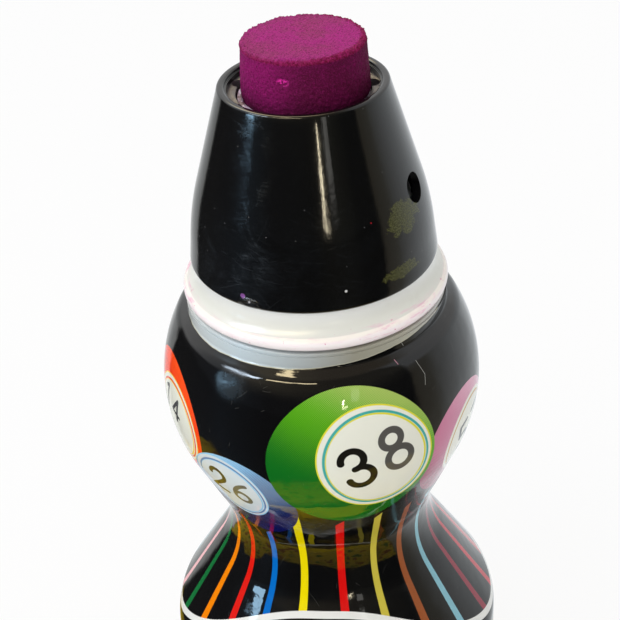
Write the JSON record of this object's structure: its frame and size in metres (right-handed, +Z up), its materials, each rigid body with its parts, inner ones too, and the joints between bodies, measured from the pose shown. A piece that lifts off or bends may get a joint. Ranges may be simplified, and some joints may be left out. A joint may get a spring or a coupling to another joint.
{
  "type": "bingo dauber",
  "caption": "Hourglass ink bottle in a printed shrink film, with a black nozzle and a spring-valve foam tip that stamps round ink dots when pressed.",
  "frame": {"origin": "centre of the standing ring under the bottle, on the surface that the dauber stands on", "axes": "+Z up along the bottle's axis towards the foam tip; -Y is the front, with the largest printed ball; +X to the right"},
  "size_m": [0.053, 0.053, 0.132],
  "materials": {
    "bottle_plastic": "natural white blow-moulded polyethylene, softly glossy",
    "printed_film": "glossy black shrink film printed with numbered balls and thin coloured stripes, scuffed",
    "collar_plastic": "warm white injection-moulded plastic, stained pink by ink",
    "shroud_plastic": "glossy black injection-moulded plastic with fine scratches and ink smears",
    "guide_plastic": "dark grey moulded plastic, slightly dusty",
    "inked_foam": "fine open-cell foam soaked with magenta ink",
    "cup_plastic": "translucent white moulded plastic tinted lilac by ink",
    "inked_felt": "pressed felt soaked with magenta ink",
    "seal_rubber": "smooth black rubber",
    "valve_plastic": "black moulded polypropylene",
    "stem_plastic": "pale grey moulded acetal",
    "spring_steel": "bright drawn stainless wire",
    "gasket_rubber": "dark grey flat rubber gasket"
  },
  "bodies": {
    "dauber_body": {"bottle": "bottle_plastic", "shrink_sleeve": "printed_film", "closure_collar": "collar_plastic", "nozzle_shroud": "shroud_plastic", "guide_ring": "guide_plastic", "valve_body": "valve_plastic", "spring_basket": "valve_plastic", "neck_gasket": "gasket_rubber", "valve_spring": "spring_steel"},
    "tip": {"foam_tip": "inked_foam", "foam_cup": "cup_plastic", "felt_disc": "inked_felt", "wiper_ring": "seal_rubber", "valve_stem": "stem_plastic", "poppet_seal": "seal_rubber"}
  },
  "joints": [
    {"name": "tip_press", "type": "slide", "parent": "dauber_body", "child": "tip", "axis": [0, 0, -1], "range_m": [0, 0.002], "stiffness_N_per_m": 600, "springref_m": -0.003, "deforming": ["valve_spring"]}
  ]
}
